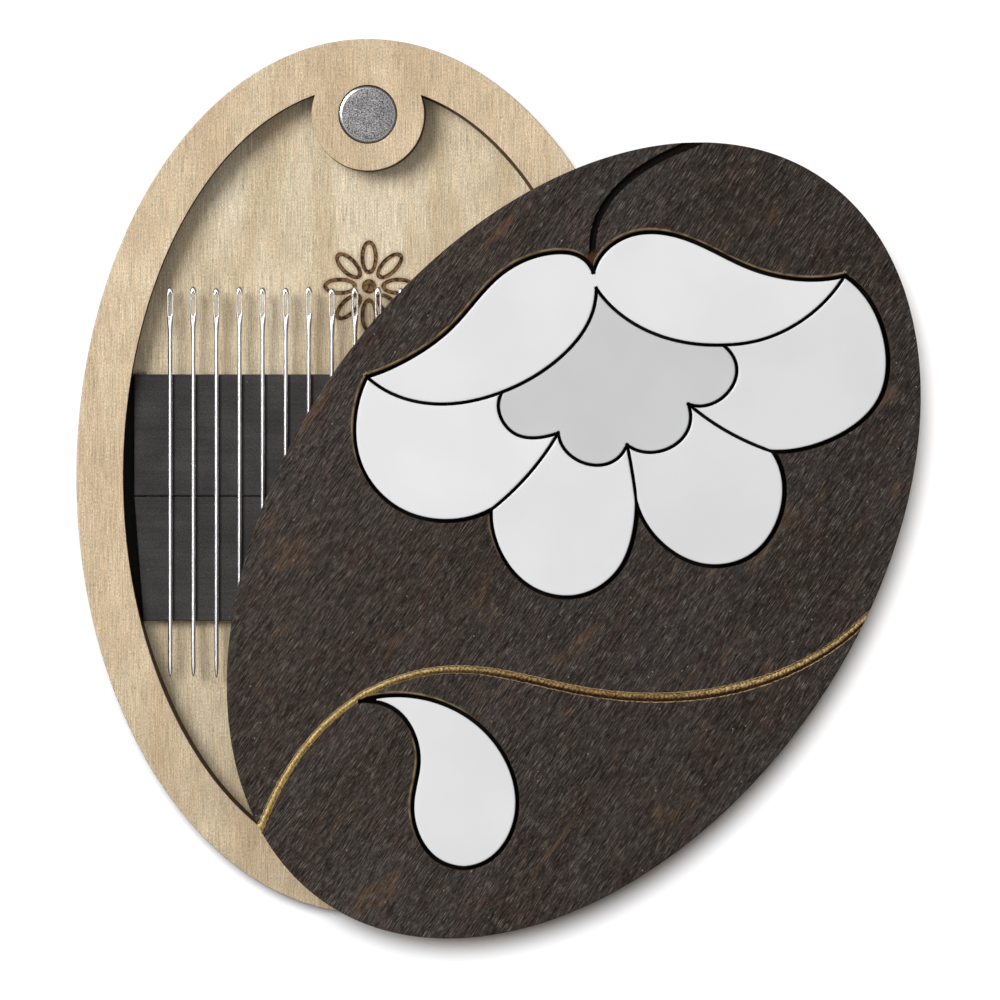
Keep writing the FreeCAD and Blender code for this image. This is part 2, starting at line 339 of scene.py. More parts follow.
def scorch_at(distance, direction, even):
    """How browned the wood is at a distance from a cut. The even share shows in every direction."""
    facing = np.maximum(unit(direction) @ scorch_side, 0.0)
    return (even + (1.0 - even) * facing) * math.exp(-(distance / scorch_reach) ** 2)


# ---- engraved lines


class Groove:
    """An engraved line along a smooth centreline, with what lies in it."""

    def __init__(self, floor, outline, relief, step, widths, mark):
        self.relief = relief
        self.mark = mark
        self.step = step
        path = self.resample(np.vstack([floor, floor[:1]]), path_samples)[:-1]
        apart = ((path[:, None] - path[None]) ** 2).sum(2)
        first, last = sorted(np.unravel_index(np.argmax(apart), apart.shape))
        one_side = path[first:last + 1]
        other_side = np.vstack([path[last:], path[:first + 1]])[::-1]
        length = np.linalg.norm(np.diff(one_side, axis=0), axis=1).sum()
        samples = int(length / step)
        centre = (self.resample(one_side, samples) + self.resample(other_side, samples)) / 2
        smoothing = np.ones(smoothing_width) / smoothing_width
        margin = smoothing_width // 2
        padded = np.pad(centre, ((margin, margin), (0, 0)), "reflect", reflect_type="odd")
        centre = np.stack([np.convolve(padded[:, axis], smoothing, "valid") for axis in (0, 1)], 1)
        if centre[0, 1] > centre[-1, 1]:
            centre = centre[::-1]
        centre = self.run_off(centre, outline)
        centre = self.run_off(centre[::-1], outline)[::-1]
        self.centre = centre
        self.tangent = unit(np.gradient(centre, axis=0))
        self.normal = left_of(self.tangent)
        self.tree = tree_of(centre)
        along = np.arange(len(centre)) * step
        ragged = [waver(distance * 2.6, 5.0, 2.0) for distance in along]
        self.half = np.interp(along, *widths) / 2 * (1.0 + raggedness * np.array(ragged))

    def run_off(self, centre, outline):
        """Carry the start of the line straight on past the outline, if it ends there."""
        if distance_to(tree_of(outline), centre[0]) > end_reach:
            return centre
        cut = int(end_trim / self.step)
        kept = centre[cut:]
        back = unit(kept[0] - kept[cut])
        run = np.arange(2 * cut, 0, -1)[:, None] * self.step
        return np.vstack([kept[0] + back * run, kept])

    @staticmethod
    def resample(path, count):
        """Even points along an open path."""
        travelled = np.append(0.0, np.cumsum(np.linalg.norm(np.diff(path, axis=0), axis=1)))
        wanted = np.linspace(0.0, travelled[-1], count)
        return np.stack([np.interp(wanted, travelled, path[:, axis]) for axis in (0, 1)], 1)

    def locate(self, point):
        """Distance along the line in millimetres, and across it in half widths."""
        index = self.tree.find((point[0], point[1], 0.0))[1]
        offset = np.asarray(point) - self.centre[index]
        past = float(offset @ self.tangent[index])
        across = float(offset @ self.normal[index]) / self.half[index]
        if abs(past) > 3 * self.step or abs(across) > far_across:
            across = far_across
        return index * self.step + past, across

    def drop(self, along, across):
        """Depth below the surface."""
        side = abs(across)
        if side >= 1.0:
            return 0.0
        floor = groove_depth - self.relief(along, across)
        return floor * min(1.0, (1.0 - side) / (1.0 - groove_wall))


def cord_relief(along, across):
    """A rounded, twisted bead that nearly fills the vine's groove."""
    crown = vine_crown * (1.0 - vine_fall * across ** 2)
    twist = math.cos(2 * math.pi * (along / vine_stitch - vine_slant * across))
    stitch = vine_stitch_height * twist * (1.0 - 0.6 * abs(across))
    return crown + stitch + vine_waver * waver(along * 1.3, across * 1.5, 3.0)


def rough_relief(along, across):
    """The uneven floor of the burnt stem, which rises to the surface at its lower end."""
    rise = min(1.0, max(0.0, (stem_start - along) / stem_fade))
    uneven = stem_waver * waver(along * 2.5, across * 1.5, 7.0) + stem_mean
    return groove_depth * rise + uneven * (1.0 - rise)


# ---- plates


class Plate:
    """Mesh of a flat piece: its points in millimetres, what each point carries, and its faces."""

    carried = ("scorch", "carved", "along", "across")

    def __init__(self, top, grooves, even):
        self.top = top
        self.grooves = grooves
        self.even = even
        self.points = []
        self.values = []
        self.faces = []

    def add(self, point, height, scorch=0.0, carved=0.0, along=0.0, across=far_across):
        """Add one point and return its index."""
        self.points.append((point[0], point[1], height))
        self.values.append((scorch, carved, along, across))
        return len(self.points) - 1

    def flat(self, indices):
        """Where points lie, seen from above."""
        return np.array([self.points[index][:2] for index in indices])

    def add_ring(self, loop, room, inset, lean, height, scorch_share):
        """Add an outline moved into its material, dipping where a groove crosses it."""
        direction = inward(loop)
        ring = loop + direction * np.clip(inset + lean, -room[1], room[0])[:, None]
        browned = scorch_at(inset, direction, self.even) * scorch_share
        indices = []
        for point, scorch in zip(ring, browned):
            z = height
            carried = (0.0, 0.0, far_across)
            for groove in self.grooves:
                along, across = groove.locate(point)
                if abs(across) < abs(carried[2]):
                    deepest = self.top - groove_depth - groove_lip / 2
                    in_line = abs(across) <= groove_margin and height > deepest
                    carried = (groove.mark if in_line else 0.0, along, across)
                    z = min(z, self.top - groove.drop(along, across))
            indices.append(self.add(point, z, scorch, *carried))
        return indices

    def add_cap(self, rings, chains, loose, upward):
        """Fill between rings with triangles that pass through the chains and the loose points."""
        indices = []
        edges = []
        for chain, closed in [(ring, True) for ring in rings] + chains:
            first = len(indices)
            indices += chain
            last = len(indices) - 1
            edges += [(index, index + 1) for index in range(first, last)]
            if closed:
                edges.append((last, first))
        indices += loose
        spots = [Vector(spot) for spot in self.flat(indices)]
        coords, _, triangles, origins = delaunay_2d_cdt(spots, edges, [], 1, 1e-5, True)[:4]
        bounds = [self.flat(ring) for ring in rings]
        triangles = np.array(triangles)
        coords = np.array([tuple(coord) for coord in coords])
        central = inside(coords[triangles].mean(1), bounds)
        ring_places = []
        for number, ring in enumerate(rings):
            ring_places += [(number, position) for position in range(len(ring))]
        made = []
        places = []
        for vertex, origin in enumerate(origins):
            first = min(origin) if origin else len(ring_places)
            places.append(ring_places[first] if first < len(ring_places) else None)
            if origin:
                made.append(indices[first])
            else:
                made.append(self.add(coords[vertex], self.points[indices[0]][2]))
        for triangle, kept in zip(triangles, central):
            a, b, c = (places[corner] for corner in triangle)
            if a and b and c and a[0] == b[0] == c[0]:
                # Three corners on one ring bound material only when they follow the ring's order
                kept = a < b < c or b < c < a or c < a < b
            if kept:
                face = tuple(made[corner] for corner in triangle)
                self.faces.append(face if upward else face[::-1])

    def finish(self, name):
        """Make the object, in metres, with smooth curves and sharp corners."""
        piece = add_piece(name, self.points, self.faces)
        mesh = piece.data
        for column, attribute in enumerate(self.carried):
            values = np.array(self.values, np.float32)[:, column]
            mesh.attributes.new(attribute, "FLOAT", "POINT").data.foreach_set("value", values)
        mesh.set_sharp_from_angle(angle=sharp_angle)
        mesh.validate()
        return piece


def walls(rings):
    """Faces that join each ring of points to the ring below it."""
    faces = []
    for upper, lower in zip(rings, rings[1:]):
        for index in range(len(upper)):
            after = (index + 1) % len(upper)
            corners = (upper[index], lower[index], lower[after], upper[after])
            faces.append(tuple(dict.fromkeys(corners)))
    return faces


def add_piece(name, points, faces):
    """Make an object, in metres, from points in millimetres."""
    mesh = bpy.data.meshes.new(name)
    mesh.from_pydata([tuple(MM * value for value in point) for point in points], [], faces)
    mesh.polygons.foreach_set("use_smooth", [True] * len(mesh.polygons))
    return add_object(name, mesh)


def add_object(name, data):
    """Put an object in the scene."""
    made = bpy.data.objects.new(name, data)
    bpy.context.scene.collection.objects.link(made)
    return made


def grid_points(loops, keep_off):
    """Points on a wide grid in the material, clear of all that is already there."""
    low = loops[0].min(0)
    high = loops[0].max(0)
    xs = np.arange(low[0] + grid_spacing / 2, high[0], grid_spacing)
    ys = np.arange(low[1] + grid_spacing / 2, high[1], grid_spacing)
    grid = np.array([(x + grid_spacing / 2 * (row % 2), y) for row, y in enumerate(ys) for x in xs])
    grid = grid[inside(grid, loops)]
    return [point for point in grid if distance_to(keep_off, point) > grid_clearance]


def rim_lean(outline, share):
    """How far the opening of the rim leans back at a share of its height, least at the upper left."""
    heading = unit(outline / np.abs(outline).max(0))
    side = np.clip(1.3 + 1.6 * np.minimum(heading @ flare_side, 0.0), 0.0, 1.0)
    return (share - 1.0) * rim_flare * side


def cut_plate(name, loops, bottom, top, grooves=(), marks=(), leaning=False, shrink=0.0, even=1.0):
    """Plate between two heights, with rounded edges.

    Grooves are engraved lines, and marks are closed outlines burnt into the top.
    """
    plate = Plate(top, grooves, even)

    def near_groove(point):
        """Distance from a point to the nearest engraved line."""
        return min(distance_to(groove.tree, point) for groove in grooves)

    outlines = [smooth_loop(loop, outline_spacing, near_groove if grooves else None) for loop in loops]
    top_rings = []
    bottom_rings = []
    for number, outline in enumerate(outlines):
        rings = []
        room = (room_inward(outline), room_inward(outline[::-1])[::-1])
        radius = edge_radius
        if number > 0 and leaning:
            radius = rim_hole_radius
        elif number > 0 and grooves:
            radius = lid_hole_radius
        rounding = [(radius * (1 - math.sin(a)), radius * (1 - math.cos(a))) for a in edge_turns]
        profile = [(inset, top - depth) for inset, depth in rounding]
        if grooves and number == 0:
            profile += [(0.0, top - groove_depth), (0.0, top - groove_depth - groove_lip)]
        profile += [(inset, bottom + depth) for inset, depth in rounding[::-1]]
        for inset, height in profile:
            lean = np.full(len(outline), shrink)
            if leaning and number == 1:
                lean = rim_lean(outline, (height - bottom) / (top - bottom))
            elif leaning and number > 1:
                lean = np.full(len(outline), bore_shrink)
            share = outer_scorch if number == 0 else 1.0
            rings.append(plate.add_ring(outline, room, inset, lean, height, share))
        plate.faces += walls(rings)
        top_rings.append(rings[0])
        bottom_rings.append(rings[-1])
    bounds = [plate.flat(ring) for ring in top_rings]
    boundary = tree_of(np.vstack(bounds))
    chains = []
    loose = []
    mark_outlines = [smooth_loop(mark, daisy_spacing) for mark in marks]
    mark_tree = tree_of(np.vstack(mark_outlines)) if marks else None

    def row_is_free(point, offset):
        """Whether a point is about as far from every other outline as from its own."""
        if distance_to(boundary, point) < row_room * (offset - edge_radius) + shrink:
            return False
        if mark_tree and distance_to(mark_tree, point) < daisy_room * offset:
            return False
        return all(abs(groove.locate(point)[1]) > groove_clearance for groove in grooves)

    def add_row(outline, offset, height, carved, share=1.0, closed_chain=False):
        """Add points at an offset from an outline; a chain keeps all of them and is joined up."""
        direction = inward(outline)
        row = outline + direction * offset
        browned = scorch_at(abs(offset), direction, even) * share
        made = []
        for point, scorch in zip(row, browned):
            if closed_chain or row_is_free(point, abs(offset)):
                lift = daisy_roughness * waver(point[0] * 3, point[1] * 3, 1.0) if carved else 0.0
                made.append(plate.add(point, height + lift, scorch, carved))
        if closed_chain:
            chains.append((made, True))
        else:
            loose.extend(made)

    for number, outline in enumerate(outlines):
        for offset in edge_rows:
            add_row(outline, offset, top, 0.0, outer_scorch if number == 0 else 1.0)
    for outline in mark_outlines:
        add_row(outline, 0.0, top, 0.0, closed_chain=True)
        add_row(outline, -daisy_wall, top - daisy_depth, 1.0, closed_chain=True)
        add_row(outline, -daisy_line / 2, top - daisy_depth, 1.0)
        if -daisy_petal < area(outline) < 0.0:
            add_row(outline, -daisy_line, top - daisy_depth, 1.0)
        for offset in daisy_rows:
            add_row(outline, offset, top, 0.0)
    for groove in grooves:
        along = np.arange(len(groove.centre)) * groove.step
        for across in groove_rows:
            line = groove.centre + groove.normal * (across * groove.half)[:, None]
            allowed = inside(line, bounds)
            chain = []
            for index, point in enumerate(line):
                free = allowed[index] and distance_to(boundary, point) > groove_gap
                if free:
                    drop = groove.drop(along[index], across)
                    mark = groove.mark if abs(across) <= groove_margin else 0.0
                    chain.append(plate.add(point, top - drop, 0.0, mark, along[index], across))
                if not free or index == len(line) - 1:
                    if abs(across) in (1.0, groove_wall):
                        chains.append((chain, False))
                    else:
                        loose.extend(chain)
                    chain = []
    taken = tree_of(plate.flat(range(len(plate.points))))
    for point in grid_points(bounds, taken):
        loose.append(plate.add(point, top))
    plate.add_cap(top_rings, chains, loose, True)
    lower_bounds = [plate.flat(ring) for ring in bottom_rings]
    taken = tree_of(np.vstack(lower_bounds))
    lower = [plate.add(point, bottom) for point in grid_points(lower_bounds, taken)]
    plate.add_cap(bottom_rings, [], lower, False)
    return plate.finish(name)


def revolved(name, centre, profile):
    """Solid of revolution about an upright axis, from its top centre round to its bottom centre."""
    points = []
    rings = []
    for radius, height in profile:
        if radius == 0.0:
            points.append((centre[0], centre[1], height))
            rings.append([len(points) - 1] * magnet_segments)
            continue
        ring = []
        for index in range(magnet_segments):
            angle = 2 * math.pi * index / magnet_segments
            x = centre[0] + radius * math.cos(angle)
            y = centre[1] + radius * math.sin(angle)
            points.append((x, y, height))
            ring.append(len(points) - 1)
        rings.append(ring)
    return add_piece(name, points, walls(rings))


# ---- materials


def rgb(red, green, blue):
    """Linear colour from the usual 0 to 255 values."""
    linear = []
    for value in (red, green, blue):
        share = value / 255
        linear.append(share / 12.92 if share <= 0.04045 else ((share + 0.055) / 1.055) ** 2.4)
    return (*linear, 1.0)


class Paint:
    """A Principled material, the colour painted so far, and short calls for its nodes."""

    def __init__(self, name, **fixed):
        self.material = bpy.data.materials.new(name)
        self.material.use_nodes = True
        self.nodes = self.material.node_tree.nodes
        self.links = self.material.node_tree.links
        self.shader = self.nodes["Principled BSDF"]
        self.colour = None
        for socket, value in fixed.items():
            self.shader.inputs[socket.replace("_", " ")].default_value = value

    def node(self, kind, inputs, output, **settings):
        """Add a node, with values or links for its inputs, and return one of its outputs."""
        made = self.nodes.new("ShaderNode" + kind)
        for setting, value in settings.items():
            setattr(made, setting, value)
        for socket, value in inputs.items():
            self.feed(made.inputs[socket], value)
        return made.outputs[output]

    def feed(self, socket, value):
        """Link an output to a socket, or set the socket's value."""
        if isinstance(value, bpy.types.NodeSocket):
            self.links.new(value, socket)
        else:
            socket.default_value = value

    def where(self, size, turn, shift):
        """Coordinates that stretch a pattern's features to a size, along turned axes.

        The size is in millimetres: one number, across and along the grain, or one for each axis.
        """
        inputs = {
            "Vector": self.node("TexCoord", {}, "Object"),
            "Location": [MM * value for value in shift],
            "Rotation": (0.0, 0.0, math.radians(turn)),
            "Scale": [MM * value for value in (size * 3)[:3]],
        }
        return self.node("Mapping", inputs, "Vector", vector_type="TEXTURE")

    def noise(self, *size, turn=0.0, shift=(0.0, 0.0, 0.0), **character):
        """Cloudy pattern, about 0.5 on average, with its detail, roughness and distortion."""
        inputs = {"Vector": self.where(size, turn, shift), "Scale": 1.0}
        inputs.update((socket.title(), value) for socket, value in character.items())
        return self.node("TexNoise", inputs, "Fac")

    def spots(self, *size, turn=0.0):
        """Distance from scattered points, in feature sizes."""
        inputs = {"Vector": self.where(size, turn, (0.0, 0.0, 0.0)), "Scale": 1.0}
        return self.node("TexVoronoi", inputs, "Distance")

    def carried(self, name):
        """A value that the mesh carries."""
        return self.node("Attribute", {}, "Fac", attribute_name=name)

    def upright(self):
        """Upward part of the surface's direction, 1 on top and -1 underneath."""
        return self.node("SeparateXYZ", {0: self.node("NewGeometry", {}, "Normal")}, "Z")

    def flatness(self):
        """1 where the surface lies flat and 0 where it is upright."""
        return self.calc("ABSOLUTE", self.upright())

    def axis(self, name):
        """Position along one axis, in millimetres."""
        position = self.node("TexCoord", {}, "Object")
        return self.times(self.node("SeparateXYZ", {0: position}, name), 1.0 / MM)

    def calc(self, operation, a, b=0.0):
        """Arithmetic on two values."""
        return self.node("Math", {0: a, 1: b}, 0, operation=operation)

    def times(self, a, b):
        """Product of two values."""
        return self.calc("MULTIPLY", a, b)

    def ramp(self, value, low, high, start=0.0, end=1.0):
        """Value stretched from one range to another, and held at its ends."""
        inputs = {"Value": value, "From Min": low, "From Max": high, "To Min": start, "To Max": end}
        return self.node("MapRange", inputs, "Result", interpolation_type="SMOOTHSTEP")

    def mix(self, share, a, b, blend="MIX"):
        """Blend of two colours."""
        return self.node("Mix", {0: share, 6: a, 7: b}, 2, data_type="RGBA", blend_type=blend)

    def cover(self, share, colour):
        """Lay a colour over a share of what is painted so far."""
        self.colour = self.mix(share, self.colour, colour)

    def vary(self, value, dark, light, low=0.3, high=0.7):
        """Shade what is painted so far."""
        self.colour = self.shade(self.colour, value, dark, light, low, high)

    def shade(self, colour, value, dark, light, low=0.3, high=0.7):
        """Colour made darker or lighter as a pattern goes from low to high."""
        factor = self.ramp(value, low, high, dark, light)
        grey = self.node("CombineColor", {0: factor, 1: factor, 2: factor}, 0)
        return self.mix(1.0, colour, grey, "MULTIPLY")

    def relief(self, height, depth):
        """Fine relief; depth is in millimetres."""
        inputs = {"Height": height, "Strength": 1.0, "Distance": MM * depth}
        self.feed(self.shader.inputs["Normal"], self.node("Bump", inputs, "Normal"))

    def finish(self, roughness=None):
        """Connect the colour and, if it varies, the roughness."""
        self.feed(self.shader.inputs["Base Color"], self.colour)
        if roughness is not None:
            self.feed(self.shader.inputs["Roughness"], roughness)
        return self.material


def add_cut_edge(paint, char_light, char_dark, layer_top):
    """Brown the laser-cut walls, with upright streaks and faint layers of veneer."""
    wall = paint.ramp(paint.flatness(), 0.75, 0.4)
    streak = paint.noise(0.16, 0.16, 5.0, detail=3.0)
    char = paint.mix(paint.ramp(streak, 0.3, 0.7), char_dark, char_light)
    height = paint.calc("SUBTRACT", paint.axis("Z"), layer_top)
    layer = paint.calc("FRACT", paint.calc("DIVIDE", height, ply_thickness))
    centre_ply = paint.ramp(paint.calc("ABSOLUTE", paint.calc("SUBTRACT", layer, 0.5)), 0.19, 0.15)
    char = paint.mix(paint.times(centre_ply, 0.35), char, char_dark)
    paint.cover(wall, char)


def sanded_birch(name, light, dark, shift, layer_top):
    """Paint for bare birch plywood: fine upright grain, browned cuts and painted shade towards the bottom."""
    paint = Paint(name, Roughness=0.6, Specular_IOR_Level=0.2)
    noise, vary = paint.noise, paint.vary
    broad = noise(5.0, 26.0, detail=3.0, distortion=0.6, shift=shift)
    curl = noise(2.2, 3.6, distortion=0.4, shift=shift)
    fibre = noise(0.1, 3.6, detail=4.0, roughness=0.75, shift=shift)
    fleck = noise(0.1, 0.22, detail=3.0, roughness=0.7, shift=shift)
    paint.colour = paint.mix(paint.ramp(broad, 0.32, 0.68), dark, light)
    vary(curl, 0.95, 1.04)
    vary(fibre, 0.68, 1.22)
    vary(fleck, 0.7, 1.22)
    vessel = noise(0.08, 0.7, detail=1.0, shift=shift)
    vary(vessel, 1.0, 0.68, 0.6, 0.72)
    # Painted shade: the wood is made darker towards the bottom (-Y), standing in for light that falls off away
    # from the lamp.
    vary(paint.axis("Y"), 0.86, 1.0, -38.0, -8.0)
    tint = noise(1.1, 9.0, detail=1.0, shift=(3.0, 5.0, 0.0))
    paint.cover(paint.ramp(tint, 0.5, 0.75, 0.0, 0.16), rgb(214, 176, 130))
    add_cut_edge(paint, rgb(98, 66, 40), rgb(46, 30, 19), layer_top)
    paint.relief(paint.calc("ADD", fibre, paint.times(vessel, 0.4)), 0.03)
    return paint, paint.ramp(fibre, 0.3, 0.7, 0.68, 0.55)


def birch(*wood):
    """Bare birch plywood."""
    paint, roughness = sanded_birch(*wood)
    return paint.finish(roughness)


def gap_shaded_birch(*wood):
    """Birch plywood whose upper side, seen only through the lid's openings, is painted near black as shade in the
    gaps around the inlays.
    """
    paint, roughness = sanded_birch(*wood)
    # Painted shade: the upper side is made near black, since the narrow gaps around the inlays lie in deep shade.
    blackish = paint.mix(paint.noise(0.4), rgb(14, 11, 9), rgb(30, 24, 19))
    paint.cover(paint.ramp(paint.upright(), 0.3, 0.8), blackish)
    return paint.finish(roughness)


def burnt_birch(strip_low, strip_high, *wood):
    """Birch plywood with a burnt drawing, and painted shade, near black, in the gaps at the ends of the strips."""
    paint, roughness = sanded_birch(*wood)
    ramp, calc = paint.ramp, paint.calc
    burn = paint.noise(0.3, detail=3.0)
    brown = paint.mix(ramp(burn, 0.36, 0.6), rgb(40, 26, 17), rgb(128, 94, 60))
    top = ramp(paint.upright(), 0.3, 0.8)
    halo = paint.times(paint.times(paint.carried("scorch"), top), 0.4)
    paint.cover(halo, rgb(120, 84, 50))
    paint.cover(paint.carried("carved"), brown)
    # Painted shade: the floor is made near black in the narrow gaps beyond the ends of the strips, where the rim
    # and the strips shade it.
    half_width = strip_high.x
    half_depth = (strip_high.y - strip_low.y) / 2
    middle = (strip_high.y + strip_low.y) / 2
    x = calc("ABSOLUTE", paint.axis("X"))
    y = calc("ABSOLUTE", calc("SUBTRACT", paint.axis("Y"), middle))
    ragged = ramp(burn, 0.3, 0.7, -0.1, 0.1)
    beyond_end = ramp(calc("ADD", x, ragged), half_width - 1.3, half_width - 1.1)
    beside = ramp(calc("ADD", y, ragged), half_depth + 0.5, half_depth - 0.3)
    black = paint.times(paint.times(beyond_end, beside), top)
    paint.cover(black, rgb(16, 12, 10))
    return paint.finish(roughness)


def stained_lid(name, layer_top):
    """Dark stained plywood with pale streaks, golden patches, a sooty stem and a gilt vine."""
    paint = Paint(name, Specular_IOR_Level=0.05)
    ramp, noise = paint.ramp, paint.noise
    broad = noise(7.0, 30.0, turn=lid_turn, detail=3.0, distortion=0.5)
    fibre = noise(0.1, 1.7, turn=lid_turn, detail=3.0, roughness=0.65)
    streak = noise(0.09, 1.3, turn=lid_turn, roughness=0.6, shift=(4.0, 9.0, 0.0))
    fleck = noise(0.11, 0.3, turn=lid_turn, roughness=0.6)
    paint.colour = paint.mix(ramp(broad, 0.35, 0.65), rgb(52, 45, 40), rgb(58, 52, 49))
    plum = noise(3.0, 4.5, turn=lid_turn, shift=(7.0, 1.0, 0.0))
    paint.cover(ramp(plum, 0.54, 0.7, 0.0, 0.4), rgb(64, 44, 40))
    paint.vary(fibre, 0.32, 1.62, 0.32, 0.68)
    paint.vary(paint.axis("X"), 1.1, 0.86, -20.0, 46.0)
    paint.vary(fleck, 0.6, 1.4, 0.32, 0.68)
    pale = ramp(streak, 0.55, 0.7, 0.0, 0.8)
    paint.cover(pale, rgb(118, 109, 100))
    patch = noise(2.4, 8.0, turn=lid_turn, distortion=0.8, shift=(11.0, 3.0, 0.0))
    golden = paint.times(ramp(patch, 0.58, 0.76), ramp(fibre, 0.38, 0.66, 0.1, 0.45))
    paint.cover(golden, rgb(118, 89, 60))
    speck = ramp(paint.spots(0.9, 1.1, turn=lid_turn), 0.1, 0.05, 0.0, 0.5)
    rare = ramp(noise(1.4, detail=0.0), 0.52, 0.6)
    paint.cover(paint.times(speck, rare), rgb(176, 172, 164))
    add_cut_edge(paint, rgb(44, 32, 23), rgb(16, 11, 9), layer_top)
    singe_edges(paint)
    paint_lines(paint)
    paint.relief(paint.calc("ADD", fibre, streak), 0.04)
    return paint.finish(ramp(fibre, 0.3, 0.7, 0.62, 0.48))


def singe_edges(paint):
    """Brown the lid's rounded edges, with a thin pale halo on top beside them."""
    ramp, times = paint.ramp, paint.times
    scorch = paint.carried("scorch")
    rounded = ramp(paint.upright(), 0.04, 0.25)
    paint.cover(times(ramp(scorch, 0.2, 0.75, 0.0, 0.95), rounded), rgb(98, 74, 48))
    top = ramp(paint.upright(), 0.3, 0.8)
    uneven = ramp(paint.noise(1.1), 0.35, 0.6, 0.2, 0.85)
    halo = times(ramp(scorch, 0.12, 0.4), ramp(scorch, 0.8, 0.5))
    paint.cover(times(times(halo, top), uneven), rgb(146, 128, 96))


def paint_lines(paint):
    """Blacken the lid's stem and gild its vine, with painted shade on the vine's lower side and a painted
    highlight along its lower edge.
    """
    ramp, mix, times = paint.ramp, paint.mix, paint.times
    carved = paint.carried("carved")
    along = paint.carried("along")
    across = paint.carried("across")
    in_line = ramp(paint.calc("ABSOLUTE", across), 1.16, 1.06)
    thread = paint.noise(0.22)
    gilt = mix(ramp(along, 20.0, 38.0), rgb(208, 183, 126), rgb(150, 122, 78))
    gilt = mix(ramp(along, 52.0, 62.0), gilt, rgb(184, 156, 108))
    # Painted shade: a darker copy of the gilt for the vine's lower side, which faces away from the light.
    shaded = mix(ramp(along, 12.0, 40.0), rgb(160, 133, 80), rgb(58, 38, 18))
    gilt = mix(ramp(across, 0.3, -0.4), gilt, shaded)
    dotted = ramp(along, 16.0, 36.0, 0.6, 0.3)
    gilt = paint.shade(gilt, thread, dotted, 1.3, 0.34, 0.66)
    # Pale lines along the vine's edges; the one on the lower edge is a painted highlight where the groove's edge
    # catches the light.
    upper = times(ramp(across, 0.8, 0.97), ramp(along, 62.0, 52.0, 0.0, 0.8))
    lower = times(ramp(across, -0.84, -0.97), ramp(along, 22.0, 40.0, 0.1, 0.8))
    broken = ramp(paint.noise(0.3), 0.38, 0.6, 0.25, 1.0)
    edges = times(paint.calc("ADD", upper, lower), broken)
    gilt = mix(edges, gilt, rgb(206, 180, 142))
    blackish = mix(ramp(thread, 0.4, 0.7), rgb(6, 5, 4), rgb(19, 14, 10))
    blackish = mix(ramp(along, 1.6, 0.8), blackish, rgb(66, 46, 30))
    paint.cover(times(ramp(carved, 0.3, 0.45), in_line), blackish)
    paint.cover(times(ramp(carved, 0.7, 0.9), in_line), gilt)


def acrylic(name, tone, seam_top):
    """Polished white or grey acrylic, faintly uneven, with painted shade low in its cut seams."""
    paint = Paint(name, Roughness=0.12, Specular_IOR_Level=0.4)
    cloud = paint.noise(9.0)
    paint.colour = paint.shade(rgb(tone, tone, tone + 1), cloud, 0.97, 1.02)
    dust = paint.noise(0.2, detail=3.0)
    paint.vary(dust, 1.0, 0.93, 0.68, 0.8)
    # Painted shade: the walls are made dark grey below the top of each seam, where the narrow seams lie in shade.
    low = paint.ramp(paint.axis("Z"), seam_top - 0.12, seam_top - 0.4)
    wall = paint.ramp(paint.flatness(), 0.7, 0.3)
    paint.cover(paint.times(low, wall), rgb(74, 71, 70))
    paint.relief(paint.noise(2.5, detail=1.0), 0.004)
    return paint.finish(paint.ramp(dust, 0.3, 0.7, 0.1, 0.2))


def nickel():
    """Nickel plating, finely pitted and blotchy on the face, bright on the rim."""
    paint = Paint("nickel_plating", Metallic=1.0)
    pit = paint.noise(0.14, detail=4.0, roughness=0.75)
    blotch = paint.noise(0.8, detail=3.0)
    face = paint.ramp(paint.flatness(), 0.95, 0.995)
    speckled = paint.shade(rgb(139, 137, 138), pit, 0.12, 1.75, 0.36, 0.64)
    speckled = paint.shade(speckled, blotch, 0.8, 1.15)
    bright = paint.shade(rgb(232, 230, 226), blotch, 0.95, 1.03)
    paint.colour = paint.mix(face, bright, speckled)
    paint.relief(paint.times(pit, face), 0.03)
    return paint.finish(paint.ramp(face, 0.0, 1.0, 0.24, 0.52))


def needle_steel():
    """Polished nickel-plated steel with faint drawing marks along the needle."""
    paint = Paint("needle_steel", Metallic=1.0)
    drawn = paint.noise(0.05, 2.5)
    paint.colour = paint.shade(rgb(246, 246, 248), drawn, 0.93, 1.0)
    paint.relief(drawn, 0.0007)
    return paint.finish(paint.ramp(drawn, 0.3, 0.7, 0.22, 0.3))


def magnetic_rubber():
    """Matt dark magnetic tape with faint rolling marks and specks."""
    paint = Paint("magnetic_rubber", Specular_IOR_Level=0.15)
    rolled = paint.noise(14.0, 0.35, 2.0, detail=3.0)
    grainy = paint.noise(0.16, detail=3.0)
    cloud = paint.noise(5.0, 4.0, 4.0)
    paint.colour = paint.shade(rgb(60, 57, 57), cloud, 0.8, 1.18)
    paint.vary(rolled, 0.9, 1.08)
    paint.vary(grainy, 0.8, 1.2)
    speck = paint.ramp(paint.spots(1.3), 0.07, 0.04)
    rare = paint.ramp(paint.noise(3.0, detail=1.0), 0.5, 0.62, 0.0, 0.5)
    paint.cover(paint.times(speck, rare), rgb(150, 148, 145))
    wall = paint.ramp(paint.flatness(), 0.7, 0.3)
    paint.cover(wall, rgb(14, 12, 11))
    paint.relief(grainy, 0.02)
    return paint.finish(paint.ramp(grainy, 0.3, 0.7, 0.85, 0.6))


def paper():
    """The pale floor."""
    paint = Paint("floor_paper", Roughness=0.9, Specular_IOR_Level=0.1)
    cloud = paint.noise(60.0)
    paint.colour = paint.shade(rgb(246, 246, 247), cloud, 0.99, 1.0)
    return paint.finish()


# ---- pieces


def level(node, end):
    """Height of a node's bottom (0) or top (1), in millimetres."""
    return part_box(node)[end].z / MM


def stand_in(piece, node, body, material):
    """Stand a finished piece in for its CAD node."""
    piece.data.materials.append(material)
    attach(piece, body)
    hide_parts(node)


